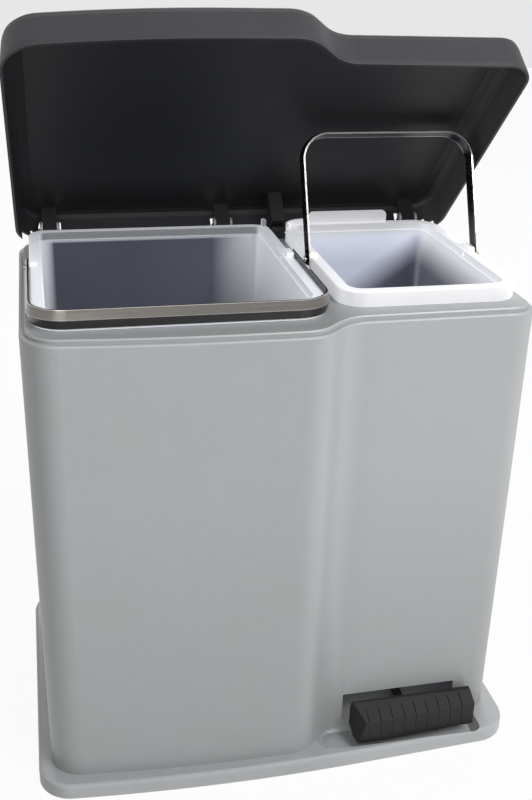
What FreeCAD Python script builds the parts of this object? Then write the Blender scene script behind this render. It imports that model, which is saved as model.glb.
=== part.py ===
import FreeCAD, Part
import math
import os

V = FreeCAD.Vector
os.makedirs("parts", exist_ok=True)

# Double pedal bin: a large and a small bucket side by side in one housing, under one stepped lid.
# X is to the right, Y to the rear, Z up. Sizes in millimetres.
# The bin is drawn as it stands open: lid up, pedal down, small handle up, large handle down.

# ---------------------------------------------------------------- housing
body_half_width = 245.0
body_rear = 173.0
front_left = -173.3          # deepest line of the front before the large bucket
front_right = -139.4         # front before the small bucket
front_right_fall = 3.0       # how far the right front falls back at its outer end
front_left_fall = 12.3       # how far the bowed left front falls back at its outer end
step_start = 22.0            # the front steps back from here
step_width = 34.0
corner_front_left = 36.0
corner_front_right = 26.0
corner_rear = 36.0
step_radius = 40.0
bow_share = 0.926            # how much of its run the front bow takes up
shell_top = 487.5
shell_wall = 2.5
shell_draft = 2.4
shoulder_chamfer = 2.0
shell_flange = 8.0           # inward flange that carries the top frame
flange_drop = 10.0
step_end = step_start + step_width

# ---------------------------------------------------------------- base
ledge_side = 11.0            # how far the plinth stands out beyond the housing
ledge_rear = 9.0
ledge_front = 15.7
ledge_front_left = 13.0
ledge_front_right = 29.6
plinth_apex_x = -60.0
plinth_bow_share = 0.9175
plinth_corner = 36.0
plinth_height = 16.0
plinth_edge = 3.5
plinth_edge_round = 1.0
plinth_wall = 3.0
rib_height = 12.0
rib_wall = 2.5
rib_relief = 30.0            # the rib ends this far behind the pedal slot's wall
fit_gap = 0.3
foot_radius = 11.0
foot_height = 6.0
foot_boss_wall = 2.5
foot_side_margin = 56.0
foot_rear_margin = 62.0
foot_front_margin = 69.0
plinth_half_width = body_half_width + ledge_side
plinth_rear = body_rear + ledge_rear
plinth_front_left = front_left + front_left_fall - ledge_front_left
plinth_front_apex = front_left - ledge_front
plinth_front_right = front_right - ledge_front_right

# ---------------------------------------------------------------- top frame
frame_inset = 5.0
frame_plate = 4.0
frame_edge = 1.0
frame_lip_height = 10.0
frame_lip_wall = 2.5
opening_clearance = 1.7
guide_wall = 2.5
guide_depth = 22.0
deck_z = shell_top + frame_plate

# ---------------------------------------------------------------- buckets
rim_height = 15.5            # above the deck
skirt_wall = 2.2
rim_plate = 2.5
rim_flange = 11.0
collar_depth = 8.5
collar_step = 1.5
bucket_wall = 2.2
bucket_taper = 9.0
bucket_bottom = 72.0
bucket_foot = 3.0            # height of the bevel round the bottom
bucket_foot_in = 2.5
rim_edge = 1.0
large_side_margin = 11.5     # from the housing's side to the rim
large_front_margin = 34.3
large_rear_margin = 21.5
large_past_step = 13.0       # the large rim ends this far right of the step's start
large_corner = 30.0
large_corner_rear = 20.0
small_side_margin = 11.5
small_front_margin = 27.4
small_rear_margin = 22.0
small_corner = 26.0
rims_apart = 17.5
lug_length = 22.0
lug_width = 7.0
lug_rise = 4.0
small_lug_back = 6.5         # the small bucket's lugs reach further behind the pivots
tab_from_left = 31.5
tab_from_right = 55.5
tab_rise = 13.0
tab_wall = 2.5
tab_radius = 6.0
rear_rise = 5.0              # raised edge round the small bucket's rear left corner
rear_rise_run = 28.0
stub_width = 5.0             # small stub on the large bucket's rear right corner
stub_rise = 8.0
stub_from_side = 5.5
stub_from_rear = 9.5
rim_top = deck_z + rim_height
skirt_bottom = deck_z + fit_gap
large_rim = dict(x0=large_side_margin - body_half_width, x1=step_start + large_past_step,
                 y0=front_left + large_front_margin, y1=body_rear - large_rear_margin, r=large_corner,
                 rear=large_corner_rear)
small_rim = dict(x0=large_rim["x1"] + rims_apart, x1=body_half_width - small_side_margin,
                 y0=front_right + small_front_margin, y1=body_rear - small_rear_margin, r=small_corner,
                 rear=small_corner)

# ---------------------------------------------------------------- bucket handles
bail_gap = 0.8
bail_thick = 1.6
bail_ridge = 2.4
bail_height = 18.0
bail_pivot_drop = 4.0        # pivots below the rim's top
small_bail_slack = 0.4       # extra room before the front of the small rim
large_bail_pivot_y = 24.0
small_bail_pivot_y = 15.0
bail_raised = 113.0          # the small handle leans back under the lid at this angle, in degrees
rivet_radius = 2.5
rivet_head_radius = 4.2
rivet_head = 0.6
rivet_play = 0.2
rivet_clearance = 0.06
bail_pivot_z = rim_top - bail_pivot_drop

# ---------------------------------------------------------------- lid and hinge
lid_open = 44.4              # degrees
hinge_inset = 7.0            # hinge line before the housing's rear
hinge_rise = 9.5             # hinge line above the deck
lid_rim_rise = 1.0           # lid's edge above the shell's shoulder
lid_overhang = 2.0
lid_wall = 2.5
lid_height = 42.5
lid_skirt = 4.5              # straight part of the lid's edge
lid_rear_gap = 5.0           # the rear wall ends this far above the deck
lid_crown = ((12.0, 0.8), (7.0, 2.2), (4.0, 5.0), (2.2, 9.0), (0.7, 16.0), (0.0, 22.0))   # down, inward
lid_hollow = ((12.0, 3.3), (7.0, 4.9), (4.7, 9.0), (2.5, 18.0))
lid_trim = 16.0
hinge_side_margin = 35.0
hinge_middle_x = -14.0
lug_half = 8.0
hinge_side_gap = 0.3
ear_plate = 2.5
ear_depth = 11.0
ear_rise = 11.0              # ears above the hinge line
hinge_pin_radius = 2.5
hinge_pin_head = 1.5
hinge_pin_clearance = 0.05
hinge_lug_radius = 6.2
notch_half = 12.5
notch_rise = 15.0
notch_front = 2.0            # the notch starts this far behind the hinge line
crank_drop = 9.0             # crank's underside below the hinge line
hinge_y = body_rear - hinge_inset
hinge_z = deck_z + hinge_rise
lid_rim_z = shell_top + lid_rim_rise
ear_top = hinge_z + ear_rise
notch_top = hinge_z + notch_rise
hinge_x = (hinge_side_margin - body_half_width, hinge_middle_x, body_half_width - hinge_side_margin)

# ---------------------------------------------------------------- push rod and pedal
rod_from_rim = 12.0          # rod's middle right of the large rim
rod_before_hinge = 20.0
rod_width = 15.0
rod_thick = 8.0
rod_slide_gap = 0.4
crank_width = 15.0
crank_depth = 14.0
contact_gap = 0.3
guide_low = 70.0
guide_high = 84.0
guide_side = 3.5
guide_side_gap = 3.0
guide_front = 4.0
guide_foot = 9.0
pedal_shaft_y = 56.0
pedal_shaft_z = 35.0
shaft_radius = 5.0
shaft_clearance = 0.05
shaft_end = 4.0
rear_arm_thick = 6.0
rear_arm_height = 10.0
rear_arm_past_rod = 5.0
rear_arm_drop = 4.0          # its underside below the shaft's middle
front_arm_thick = 6.0
front_arm_end_z = 17.0
front_arm_end_height = 9.0
front_arm_root = 8.0
hub_radius = 10.0
bracket_from_rod = 21.0
bracket_from_arm = 23.0
bracket_plate = 3.0
bracket_half = 16.0
bracket_top_half = 9.0
bracket_rise = 12.0
bracket_foot = 18.0
bracket_shoulder = 8.0
clip_radius = 8.5
clip_thick = 1.2
clip_mouth = 2.5
tread_from_step = 21.0
tread_side_margin = 31.0
tread_gap = 4.1              # between the housing's front and the tread's left rear corner
tread_right_shift = 3.2      # the tread's right rear corner is this much further back
tread_depth_left = 24.5
tread_depth_right = 19.5
tread_bottom = 16.0
tread_rear_bottom = 25.0
tread_rear_z = 52.5
tread_ridge_z = 42.0
tread_nose = 1.7
tread_rear_bevel = 2.5
tread_end_turn = 26.6        # degrees
tread_end_lean = 14.0        # degrees
tread_grooves = 9
tread_groove_start = 14.0
tread_groove_pitch = 13.4
tread_groove_width = 1.5
tread_groove_depth = 1.2
tread_groove_run = 15.0
tread_pad_half = 25.0
tread_pad_depth = 17.0
tread_pad_thick = 4.0
tread_boss_wall = 3.0
tread_screw_half = 16.0
slot_left = 7.0              # slot beyond the tread's left end
slot_right = 16.0            # slot short of the tread's right end
slot_top = 58.0
well_depth = 10.0
well_left = 39.0
well_right = 8.0
well_front = 32.6
well_rear = 12.0
well_slope = 8.0
well_corner = 20.0
well_front_corner = 10.0
well_wall = 2.0
rod_x = large_rim["x1"] + rod_from_rim
rod_y = hinge_y - rod_before_hinge
tread_x0 = step_end + tread_from_step
tread_x1 = body_half_width - tread_side_margin
tread_rear = front_right - tread_gap
front_arm_x = (tread_x0 + tread_x1) / 2
bracket_x = (rod_x + bracket_from_rod, front_arm_x - bracket_from_arm)
slot_x0 = tread_x0 - slot_left
slot_x1 = tread_x1 - slot_right
well_x0 = tread_x0 - well_left
well_x1 = tread_x1 + well_right
well_y0 = front_right - well_front
well_y1 = front_right + fit_gap

# ---------------------------------------------------------------- fasteners
screw_radius = 2.0
screw_head_radius = 4.0
screw_head = 2.2
screw_length = 12.0
short_screw_length = 9.0
screw_spread = 9.0           # bracket screws either side of the shaft
boss_radius = 6.0
boss_height = 32.0
boss_gap = 1.0
boss_side_margin = 20.0
boss_end_margin = 22.0
tie_wall = 3.0

beyond = 3 * body_half_width             # longer than anything, for cutting right through


# ================================================================ drawing helpers
def outline(points, z, offset=0.0):
    """Closed wire through corners (x, y, radius), anticlockwise from above, moved outward by offset."""
    n = len(points)
    lines = []
    for i in range(n):
        ax, ay, _ = points[i]
        bx, by, _ = points[(i + 1) % n]
        length = math.hypot(bx - ax, by - ay)
        ux, uy = (bx - ax) / length, (by - ay) / length
        lines.append((ax + uy * offset, ay - ux * offset, ux, uy))
    arcs = []
    for i in range(n):
        px, py, pux, puy = lines[i - 1]
        qx, qy, qux, quy = lines[i]
        cross = pux * quy - puy * qux
        t = ((qx - px) * quy - (qy - py) * qux) / cross
        cx, cy = px + pux * t, py + puy * t
        turn = math.atan2(cross, pux * qux + puy * quy)
        radius = points[i][2] + (offset if turn > 0 else -offset)
        radius = max(radius, 0.5)
        cut = radius * math.tan(abs(turn) / 2)
        start = V(cx - pux * cut, cy - puy * cut, z)
        end = V(cx + qux * cut, cy + quy * cut, z)
        inward = V(qux - pux, quy - puy, 0).normalize()
        middle = V(cx, cy, z) + inward * (radius / math.cos(turn / 2) - radius)
        arcs.append((start, middle, end))
    edges = []
    for i in range(n):
        start, middle, end = arcs[i]
        edges.append(Part.Arc(start, middle, end).toShape())
        edges.append(Part.LineSegment(end, arcs[(i + 1) % n][0]).toShape())
    return Part.Wire(edges)


def stack(points, sections):
    """Solid through the outline at each (z, offset)."""
    wires = [outline(points, z, offset) for z, offset in sections]
    return Part.makeLoft(wires, True, True)


def slab(points, z0, z1, offset=0.0):
    return Part.Face(outline(points, z0, offset)).extrude(V(0, 0, z1 - z0))


def box(x0, x1, y0, y1, z0, z1):
    return Part.makeBox(x1 - x0, y1 - y0, z1 - z0, V(x0, y0, z0))


def rod_along_x(radius, x0, x1, y, z):
    return Part.makeCylinder(radius, x1 - x0, V(x0, y, z), V(1, 0, 0))


def post(radius, x, y, z0, z1):
    return Part.makeCylinder(radius, z1 - z0, V(x, y, z0))


def plate_along_x(x0, x1, points):
    """Prism along X with a (y, z) outline."""
    wire = Part.makePolygon([V(x0, y, z) for y, z in points] + [V(x0, *points[0])])
    return Part.Face(wire).extrude(V(x1 - x0, 0, 0))


def rectangle(r):
    return [(r["x1"], r["y1"], r["rear"]), (r["x0"], r["y1"], r["rear"]),
            (r["x0"], r["y0"], r["r"]), (r["x1"], r["y0"], r["r"])]


def screw(x, y, head_z, length, up=1):
    """Pan head screw. The head lies on head_z, above it when up is 1 and below it when -1."""
    if up > 0:
        head = post(screw_head_radius, x, y, head_z, head_z + screw_head)
        return head.fuse(post(screw_radius, x, y, head_z - length, head_z))
    head = post(screw_head_radius, x, y, head_z - screw_head, head_z)
    return head.fuse(post(screw_radius, x, y, head_z, head_z + length))


def save(name, *solids):
    found = []
    for s in solids:
        clean = s.removeSplitter()
        found += clean.Solids
    for s in found:
        if not s.isValid():
            print("invalid solid in", name)
    shape = found[0] if len(found) == 1 else Part.makeCompound(found)
    shape.exportStep("parts/" + name + ".step")
    b = shape.BoundBox
    print("%-20s %2d solids  %9.1f cm3  x %.1f..%.1f  y %.1f..%.1f  z %.1f..%.1f" % (
        name, len(found), sum(s.Volume for s in found) / 1000,
        b.XMin, b.XMax, b.YMin, b.YMax, b.ZMin, b.ZMax))
    return shape


# ================================================================ plan outlines
front_slope = math.atan2(front_left_fall, body_half_width / 2)
bow_radius = bow_share * (body_half_width / 2 - corner_front_left) / math.tan(front_slope / 2)
body_plan = [
    (body_half_width, body_rear, corner_rear),
    (-body_half_width, body_rear, corner_rear),
    (-body_half_width, front_left + front_left_fall, corner_front_left),
    (-body_half_width / 2, front_left, bow_radius),
    (step_start, front_left, step_radius),
    (step_end, front_right, step_radius),
    (body_half_width, front_right + front_right_fall, corner_front_right),
]
run_left = plinth_half_width + plinth_apex_x
run_right = plinth_half_width - plinth_apex_x
plinth_turn = (math.atan2(plinth_front_left - plinth_front_apex, run_left)
               + math.atan2(plinth_front_right - plinth_front_apex, run_right))
plinth_bow_radius = plinth_bow_share * (run_left - plinth_corner) / math.tan(plinth_turn / 2)
plinth_plan = [
    (plinth_half_width, plinth_rear, plinth_corner),
    (-plinth_half_width, plinth_rear, plinth_corner),
    (-plinth_half_width, plinth_front_left, plinth_corner),
    (plinth_apex_x, plinth_front_apex, plinth_bow_radius),
    (plinth_half_width, plinth_front_right, plinth_corner),
]
large_plan = rectangle(large_rim)
small_plan = rectangle(small_rim)
wall_inset = rim_flange - bucket_wall          # outside of the collar
body_inset = wall_inset + collar_step          # outside of the wall below the collar

# ================================================================ base plinth
base_top = plinth_height
rib_top = base_top + rib_height
plinth = stack(plinth_plan, [(0, 0), (plinth_height - plinth_edge, 0),
                             (plinth_height - plinth_edge_round, -plinth_edge_round),
                             (plinth_height, -plinth_edge)])
plinth = plinth.cut(slab(plinth_plan, -beyond, plinth_height - plinth_wall, -plinth_wall))
rib_out = -shell_draft - shell_wall - fit_gap
rib = slab(body_plan, base_top, rib_top, rib_out)
rib = rib.cut(slab(body_plan, -beyond, beyond, rib_out - rib_wall))
rib = rib.cut(box(well_x0, slot_x1 + boss_radius, -beyond, front_right + rib_relief, -beyond, beyond))
boss_x = body_half_width - boss_side_margin
boss_at = [(-boss_x, body_rear - boss_end_margin), (boss_x, body_rear - boss_end_margin),
           (-boss_x, front_left + front_left_fall + boss_end_margin), (boss_x, front_right + boss_end_margin)]
for x, y in boss_at:
    rib = rib.cut(post(boss_radius + boss_gap, x, y, -beyond, beyond))
    side_x = math.copysign(body_half_width, x)
    rib = rib.cut(box(min(x, side_x), max(x, side_x), y - tie_wall, y + tie_wall, -beyond, beyond))
plinth = plinth.fuse(rib)
# pedal well: a shallow scoop in the ledge under the pedal
well_half = (well_y1 - well_y0) / 2
well_plan = [(well_x1, well_y1 + well_rear, well_corner), (well_x0, well_y1 + well_rear, well_corner),
             (well_x0, well_y0, well_half), (well_x1, well_y0, well_front_corner)]
well_floor = plinth_height - well_depth
plinth = plinth.fuse(stack(well_plan, [(well_floor - well_wall, well_wall - well_slope),
                                       (plinth_height - well_wall / 4, well_wall)]).common(
    slab(plinth_plan, 0, plinth_height, -plinth_edge)))
plinth = plinth.cut(stack(well_plan, [(well_floor, -well_slope), (plinth_height, 0), (beyond, 0)]))
foot_x = plinth_half_width - foot_side_margin
foot_rear_y = plinth_rear - foot_rear_margin
foot_front_y = plinth_front_left + foot_front_margin
feet_at = [(-foot_x, foot_rear_y), (foot_x, foot_rear_y), (-foot_x, foot_front_y), (foot_x, foot_front_y)]
for x, y in feet_at:
    plinth = plinth.fuse(post(foot_radius + foot_boss_wall, x, y, foot_height - foot_boss_wall,
                              plinth_height - plinth_wall))
    plinth = plinth.cut(post(foot_radius, x, y, -beyond, foot_height))
bracket_screw_at = []
for x, side in zip(bracket_x, (-1, 1)):
    for dy in (-screw_spread, screw_spread):
        bracket_screw_at.append((x + side * (bracket_plate + bracket_foot) / 2, pedal_shaft_y + dy))
guide_half = rod_width / 2 + rod_slide_gap + guide_side + guide_side_gap
guide_screw_at = [(rod_x - guide_half - guide_foot / 2, rod_y), (rod_x + guide_half + guide_foot / 2, rod_y)]
for x, y in boss_at + bracket_screw_at + guide_screw_at:
    plinth = plinth.cut(post(screw_radius, x, y, -beyond, beyond))
save("base_plinth", plinth)
save("rubber_feet", *[post(foot_radius, x, y, 0, foot_height) for x, y in feet_at])

# ================================================================ body shell
shell = stack(body_plan, [(base_top, -shell_draft), (shell_top - shoulder_chamfer, 0),
                          (shell_top - shoulder_chamfer / 3, -shoulder_chamfer / 3),
                          (shell_top, -shoulder_chamfer)])
shell = shell.cut(stack(body_plan, [(base_top, -shell_draft - shell_wall),
                                    (shell_top - shell_wall, -shell_wall)]))
shell = shell.cut(slab(body_plan, shell_top - flange_drop, beyond, -shell_wall - shell_flange))
for x, y in boss_at:
    column = post(boss_radius, x, y, base_top, base_top + boss_height)
    tie_x = math.copysign(body_half_width - shell_draft, x)
    tie = box(min(x, tie_x), max(x, tie_x), y - tie_wall / 2, y + tie_wall / 2, base_top, base_top + boss_height)
    shell = shell.fuse(column.fuse(tie.common(stack(body_plan, [
        (base_top, -shell_draft - shell_wall / 2), (shell_top - shoulder_chamfer, -shell_wall / 2)]))))
    shell = shell.cut(post(screw_radius, x, y, -beyond, base_top + screw_length - plinth_wall))
shell = shell.cut(box(slot_x0, slot_x1, -beyond, front_right + rib_relief, -beyond, slot_top))
save("body_shell", shell)
save("base_screws", *[screw(x, y, plinth_height - plinth_wall, screw_length, -1) for x, y in boss_at])

# ================================================================ top frame
frame = stack(body_plan, [(shell_top, -frame_inset), (deck_z - frame_edge, -frame_inset),
                          (deck_z, -frame_inset - frame_edge)])
lip_out = -shell_wall - shell_flange - fit_gap
lip = slab(body_plan, shell_top - frame_lip_height, shell_top, lip_out)
lip = lip.cut(slab(body_plan, -beyond, beyond, lip_out - frame_lip_wall))
frame = frame.fuse(lip)
slide_x = rod_width / 2 + rod_slide_gap
slide_y = rod_thick / 2 + rod_slide_gap
frame = frame.fuse(box(rod_x - slide_x - guide_wall, rod_x + slide_x + guide_wall,
                       rod_y - slide_y - guide_wall, rod_y + slide_y + guide_wall,
                       shell_top - guide_depth, shell_top))
for plan in (large_plan, small_plan):
    frame = frame.cut(slab(plan, -beyond, beyond, opening_clearance - body_inset))
for hx in hinge_x:
    pad_half = lug_half + hinge_side_gap + ear_plate
    frame = frame.fuse(box(hx - pad_half, hx + pad_half, hinge_y - ear_depth, hinge_y + ear_depth / 2,
                           shell_top, deck_z))
    for side in (-1, 1):
        inner_x = hx + side * (lug_half + hinge_side_gap)
        outer_x = inner_x + side * ear_plate
        x0, x1 = min(inner_x, outer_x), max(inner_x, outer_x)
        half = ear_depth / 2
        ear = box(x0, x1, hinge_y - half, hinge_y + half, deck_z, ear_top - half)
        ear = ear.fuse(rod_along_x(half, x0, x1, hinge_y, ear_top - half))
        frame = frame.fuse(ear)
frame = frame.cut(rod_along_x(hinge_pin_radius, -beyond, beyond, hinge_y, hinge_z))
frame = frame.cut(box(rod_x - slide_x, rod_x + slide_x, rod_y - slide_y, rod_y + slide_y, -beyond, beyond))
save("top_frame", frame)
pins = []
for hx in hinge_x:
    half = lug_half + hinge_side_gap + ear_plate
    pin = rod_along_x(hinge_pin_radius, hx - half, hx + half + hinge_pin_head / 2, hinge_y, hinge_z)
    pins.append(pin.fuse(rod_along_x(hinge_pin_radius + hinge_pin_head, hx - half - hinge_pin_head, hx - half,
                                     hinge_y, hinge_z)))
save("hinge_pins", *pins)


# ================================================================ buckets
def top_edges(shape, direction):
    """The edges of a box's top face that run along direction."""
    top = shape.BoundBox.ZMax
    return [e for e in shape.Edges if e.BoundBox.ZMin > top - fit_gap
            and abs(e.tangentAt(e.FirstParameter).dot(direction)) > 0.9]


def bucket(rim, lug_y):
    plan = rectangle(rim)
    foot_inset = body_inset + bucket_taper
    wall = stack(plan, [(bucket_bottom, -foot_inset), (bucket_bottom + bucket_foot, bucket_foot_in - foot_inset),
                        (rim_top - collar_depth - collar_step, -body_inset), (rim_top - collar_depth, -wall_inset)])
    wall = wall.fuse(slab(plan, rim_top - collar_depth, rim_top - rim_plate, -wall_inset))
    skirt = stack(plan, [(skirt_bottom, 0), (rim_top - rim_edge, 0), (rim_top, -rim_edge)])
    skirt = skirt.cut(slab(plan, -beyond, rim_top - rim_plate, -skirt_wall))
    shape = wall.fuse(skirt)
    for side in (-1, 1):
        face = rim["x0"] if side < 0 else rim["x1"]
        x0, x1 = min(face, face - side * lug_width), max(face, face - side * lug_width)
        lug = box(x0, x1, lug_y - lug_length / 2, lug_y + lug_length / 2, skirt_bottom, rim_top + lug_rise)
        shape = shape.fuse(lug.makeFillet(lug_rise * 0.85, top_edges(lug, V(1, 0, 0))))
    shape = shape.cut(slab(plan, rim_top - collar_depth, beyond, -rim_flange))
    hollow_inset = rim_flange + collar_step
    shape = shape.cut(stack(plan, [
        (bucket_bottom + bucket_wall, -hollow_inset - bucket_taper),
        (bucket_bottom + bucket_wall + bucket_foot, bucket_foot_in - hollow_inset - bucket_taper),
        (rim_top - collar_depth, -hollow_inset)]))
    return shape


def rivet_holes(shape, rim, pivot_y):
    for face in (rim["x0"], rim["x1"]):
        shape = shape.cut(rod_along_x(rivet_radius, face - rim_flange, face + rim_flange, pivot_y, bail_pivot_z))
    return shape


def rivets(rim, pivot_y):
    found = []
    reach = bail_gap + bail_thick + bail_ridge + rivet_play
    for side in (-1, 1):
        face = rim["x0"] if side < 0 else rim["x1"]
        inner, outer = face - side * lug_width, face + side * reach
        shank = rod_along_x(rivet_radius, min(inner, outer), max(inner, outer), pivot_y, bail_pivot_z)
        tip = outer + side * rivet_head
        head = rod_along_x(rivet_head_radius, min(outer, tip), max(outer, tip), pivot_y, bail_pivot_z)
        found.append(shank.fuse(head))
    return found


def bail(rim, slack, pivot_y):
    """Strap with a folded ridge, from one pivot round the front of the rim to the other, lying level."""
    ring = dict(rim)
    ring["y0"] = rim["y0"] - slack
    plan = rectangle(ring)
    half = bail_height / 2
    low, mid, high = bail_pivot_z - half, bail_pivot_z, bail_pivot_z + half
    outer = stack(plan, [(low, bail_gap + bail_thick), (mid, bail_gap + bail_thick + bail_ridge),
                         (high, bail_gap + bail_thick)])
    inner = stack(plan, [(low, bail_gap), (mid, bail_gap + bail_ridge), (high, bail_gap)])
    strap = outer.cut(inner)
    keep = box(-beyond, beyond, -beyond, pivot_y, low, high).fuse(rod_along_x(half, -beyond, beyond, pivot_y, mid))
    strap = strap.common(keep)
    return strap.cut(rod_along_x(rivet_radius + rivet_clearance, -beyond, beyond, pivot_y, mid))


large_bucket = bucket(large_rim, large_bail_pivot_y)
stub_x, stub_y = large_rim["x1"] - stub_from_side, large_rim["y1"] - stub_from_rear
stub = box(stub_x - stub_width / 2, stub_x + stub_width / 2, stub_y - stub_width / 2, stub_y + stub_width / 2,
           rim_top - rim_plate, rim_top + stub_rise)
stub = stub.makeFillet(stub_width / 3, top_edges(stub, V(0, 1, 0)))
large_bucket = large_bucket.fuse(stub.common(slab(large_plan, 0, beyond)))
save("large_bucket", rivet_holes(large_bucket, large_rim, large_bail_pivot_y))
save("large_bail_rivets", *rivets(large_rim, large_bail_pivot_y))
save("large_bail", bail(large_rim, 0, large_bail_pivot_y))
small_bucket = bucket(small_rim, small_bail_pivot_y + small_lug_back)
tab_x = small_rim["x0"] + tab_from_left
tab = box(tab_x, small_rim["x1"] - tab_from_right, small_rim["y1"] - tab_wall, small_rim["y1"],
          rim_top - rim_plate, rim_top + tab_rise)
small_bucket = small_bucket.fuse(tab.makeFillet(tab_radius, top_edges(tab, V(0, 1, 0))))
edge = slab(small_plan, rim_top - rim_plate, rim_top + rear_rise).cut(slab(small_plan, 0, beyond, -tab_wall))
small_bucket = small_bucket.fuse(edge.common(box(
    small_rim["x0"], tab_x + tab_radius, small_rim["y1"] - rear_rise_run, small_rim["y1"], 0, beyond)))
save("small_bucket", rivet_holes(small_bucket, small_rim, small_bail_pivot_y))
save("small_bail_rivets", *rivets(small_rim, small_bail_pivot_y))
small_bail = bail(small_rim, small_bail_slack, small_bail_pivot_y)
small_bail.rotate(V(0, small_bail_pivot_y, bail_pivot_z), V(1, 0, 0), -bail_raised)
save("small_bail", small_bail)

# ================================================================ lid, drawn shut and then turned open
top = lid_rim_z + lid_height
skirt_z = lid_rim_z + lid_skirt
lid = stack(body_plan, [(lid_rim_z, lid_overhang), (skirt_z, lid_overhang)] + [
    (top - down, -inward) for down, inward in lid_crown])
lid = lid.cut(stack(body_plan, [(lid_rim_z, lid_overhang - lid_wall), (skirt_z, lid_overhang - lid_wall)] + [
    (top - down, -inward) for down, inward in lid_hollow]))
lid_rear_z = deck_z + lid_rear_gap
lid = lid.cut(box(-beyond, beyond, hinge_y + hinge_pin_radius, beyond, 0, lid_rear_z))
trim_x = body_half_width - frame_inset + fit_gap
lid = lid.cut(box(-trim_x, trim_x, hinge_y - lid_trim, beyond, 0, lid_rear_z))
for hx in hinge_x:
    lid = lid.cut(box(hx - notch_half, hx + notch_half, hinge_y + notch_front, beyond, 0, notch_top))
for hx in hinge_x:
    lug = rod_along_x(hinge_lug_radius, hx - lug_half, hx + lug_half, hinge_y, hinge_z)
    lug = lug.fuse(box(hx - lug_half, hx + lug_half, hinge_y - hinge_lug_radius,
                       hinge_y + hinge_lug_radius - fit_gap, hinge_z, top - lid_wall))
    lid = lid.fuse(lug)
lid = lid.cut(rod_along_x(hinge_pin_radius + hinge_pin_clearance, -beyond, beyond, hinge_y, hinge_z))
# crank: the block that the push rod lifts
crank_under = hinge_z - crank_drop
lid = lid.fuse(box(rod_x - crank_width / 2, rod_x + crank_width / 2, rod_y - crank_depth / 2,
                   rod_y + crank_depth / 2, crank_under, top - lid_wall / 2))
lid.rotate(V(0, hinge_y, hinge_z), V(1, 0, 0), -lid_open)
save("lid", lid)

# ================================================================ push rod
theta = math.radians(lid_open)
arm = hinge_y - rod_y
half_thick = rod_thick / 2
rod_top = hinge_z + (crank_under - hinge_z - half_thick - contact_gap + arm * math.sin(theta)) / math.cos(theta)
rear_arm_top = pedal_shaft_z + rear_arm_height / 2
rod_foot = rear_arm_top + contact_gap + half_thick
rod = box(rod_x - rod_width / 2, rod_x + rod_width / 2, rod_y - half_thick, rod_y + half_thick, rod_foot, rod_top)
for z in (rod_foot, rod_top):
    rod = rod.fuse(rod_along_x(half_thick, rod_x - rod_width / 2, rod_x + rod_width / 2, rod_y, z))
save("push_rod", rod)
print("rod top centre %.2f, foot centre %.2f" % (rod_top, rod_foot))

front_y, rear_y = rod_y - slide_y - guide_front, rod_y + slide_y + guide_front
inner_half = guide_half - guide_side
guide = box(rod_x - guide_half, rod_x + guide_half, front_y, rear_y, base_top, guide_high)
guide = guide.fuse(box(rod_x - guide_half - guide_foot, rod_x + guide_half + guide_foot, front_y, rear_y,
                       base_top, base_top + bracket_plate))
guide = guide.cut(box(rod_x - inner_half, rod_x + inner_half, front_y, rear_y, base_top, guide_low))
guide = guide.cut(box(rod_x - slide_x, rod_x + slide_x, rod_y - slide_y, rod_y + slide_y, guide_low, guide_high))
for x, y in guide_screw_at:
    guide = guide.cut(post(screw_radius, x, y, 0, base_top + bracket_plate))
save("rod_guide", guide)

# ================================================================ pedal
shaft_x0 = rod_x - rear_arm_thick / 2 - shaft_end
shaft_x1 = front_arm_x + front_arm_thick / 2 + shaft_end
save("pedal_shaft", rod_along_x(shaft_radius, shaft_x0, shaft_x1, pedal_shaft_y, pedal_shaft_z))
brackets = []
for i, x in enumerate(bracket_x):
    side = -1 if i == 0 else 1
    plate = plate_along_x(x - bracket_plate / 2, x + bracket_plate / 2, [
        (pedal_shaft_y - bracket_half, base_top), (pedal_shaft_y + bracket_half, base_top),
        (pedal_shaft_y + bracket_half, base_top + bracket_shoulder),
        (pedal_shaft_y + bracket_top_half, pedal_shaft_z + bracket_rise),
        (pedal_shaft_y - bracket_top_half, pedal_shaft_z + bracket_rise),
        (pedal_shaft_y - bracket_half, base_top + bracket_shoulder)])
    flange_x = x + side * (bracket_plate / 2 + bracket_foot)
    flange = box(min(x, flange_x), max(x, flange_x), pedal_shaft_y - bracket_half, pedal_shaft_y + bracket_half,
                 base_top, base_top + bracket_plate)
    whole = plate.fuse(flange)
    whole = whole.cut(rod_along_x(shaft_radius + shaft_clearance, 0, beyond, pedal_shaft_y, pedal_shaft_z))
    for sx, sy in bracket_screw_at:
        whole = whole.cut(post(screw_radius, sx, sy, 0, base_top + bracket_plate))
    brackets.append(whole)
save("shaft_brackets", *brackets)
save("bracket_screws", *[screw(x, y, base_top + bracket_plate, short_screw_length)
                         for x, y in bracket_screw_at + guide_screw_at])
clips = []
for x in (bracket_x[0] - bracket_plate / 2 - contact_gap - clip_thick, bracket_x[1] + bracket_plate / 2 + contact_gap):
    ring = rod_along_x(clip_radius, x, x + clip_thick, pedal_shaft_y, pedal_shaft_z)
    ring = ring.cut(rod_along_x(shaft_radius, 0, beyond, pedal_shaft_y, pedal_shaft_z))
    clips.append(ring.cut(box(0, beyond, pedal_shaft_y - clip_mouth, pedal_shaft_y + clip_mouth,
                              pedal_shaft_z, beyond)))
save("shaft_clips", *clips)
x0, x1 = rod_x - rear_arm_thick / 2, rod_x + rear_arm_thick / 2
rear_arm = box(x0, x1, pedal_shaft_y, rod_y + rear_arm_past_rod, pedal_shaft_z - rear_arm_drop,
               rear_arm_top)
rear_arm = rear_arm.fuse(rod_along_x(hub_radius, x0, x1, pedal_shaft_y, pedal_shaft_z))
rear_arm = rear_arm.cut(rod_along_x(shaft_radius, 0, beyond, pedal_shaft_y, pedal_shaft_z))
save("rear_arm", rear_arm)
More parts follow.
